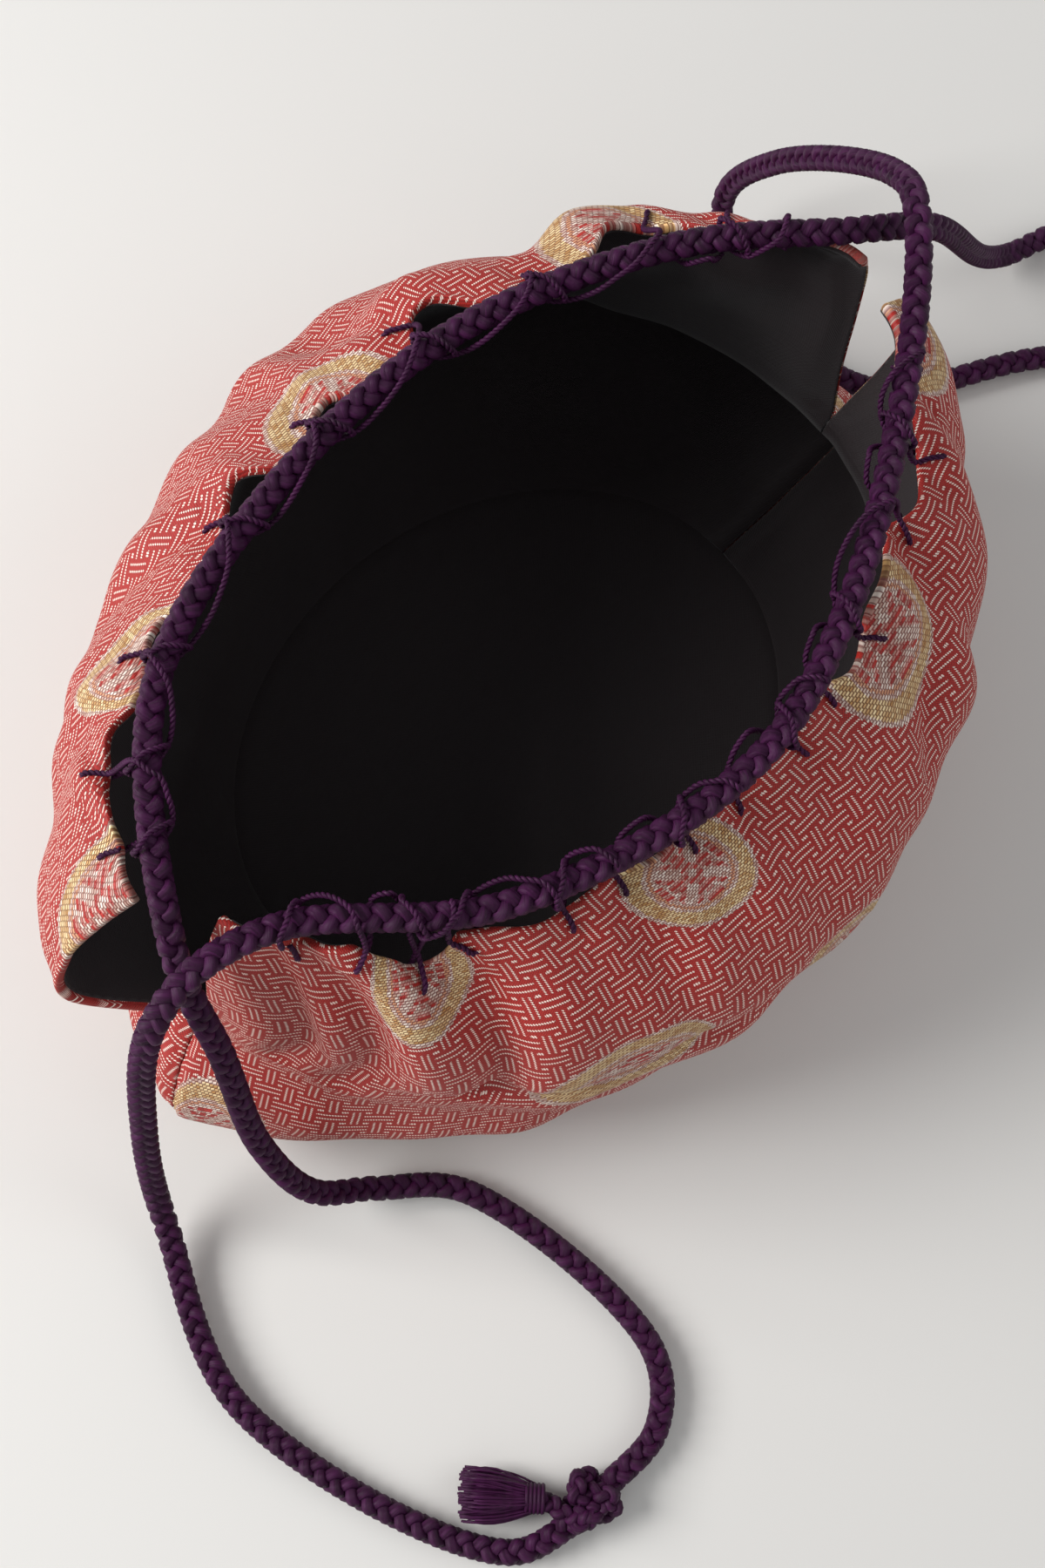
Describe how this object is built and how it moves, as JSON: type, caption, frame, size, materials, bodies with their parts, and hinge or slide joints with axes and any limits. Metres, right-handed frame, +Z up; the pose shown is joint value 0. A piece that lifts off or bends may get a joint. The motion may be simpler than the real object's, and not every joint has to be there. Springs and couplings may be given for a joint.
{
  "type": "kinchaku drawstring pouch",
  "caption": "Lined silk brocade pouch with a side slit at each end, mouth gathered on thread loops round a braided drawcord that ends in a knot and a small tassel.",
  "frame": {"origin": "under the middle of the pouch, on the surface it stands on", "axes": "+Z up through the mouth, +X from one side slit to the other, -Y towards the near panel"},
  "size_m": [0.308, 0.202, 0.0983],
  "materials": {
    "brocade": "silk brocade, wicker pattern with gold roundels",
    "lining": "dark plain-weave silk",
    "cord": "purple silk, round braid",
    "thread": "purple twisted silk thread"
  },
  "bodies": {
    "root": {"brocade_near_panel": "brocade", "brocade_far_panel": "brocade", "brocade_base": "brocade", "lining_near_panel": "lining", "lining_far_panel": "lining", "lining_base": "lining", "tsugari_near": "thread", "tsugari_far": "thread", "drawcord": "cord", "cord_knot": "cord", "cord_tassel": "cord"}
  },
  "joints": []
}
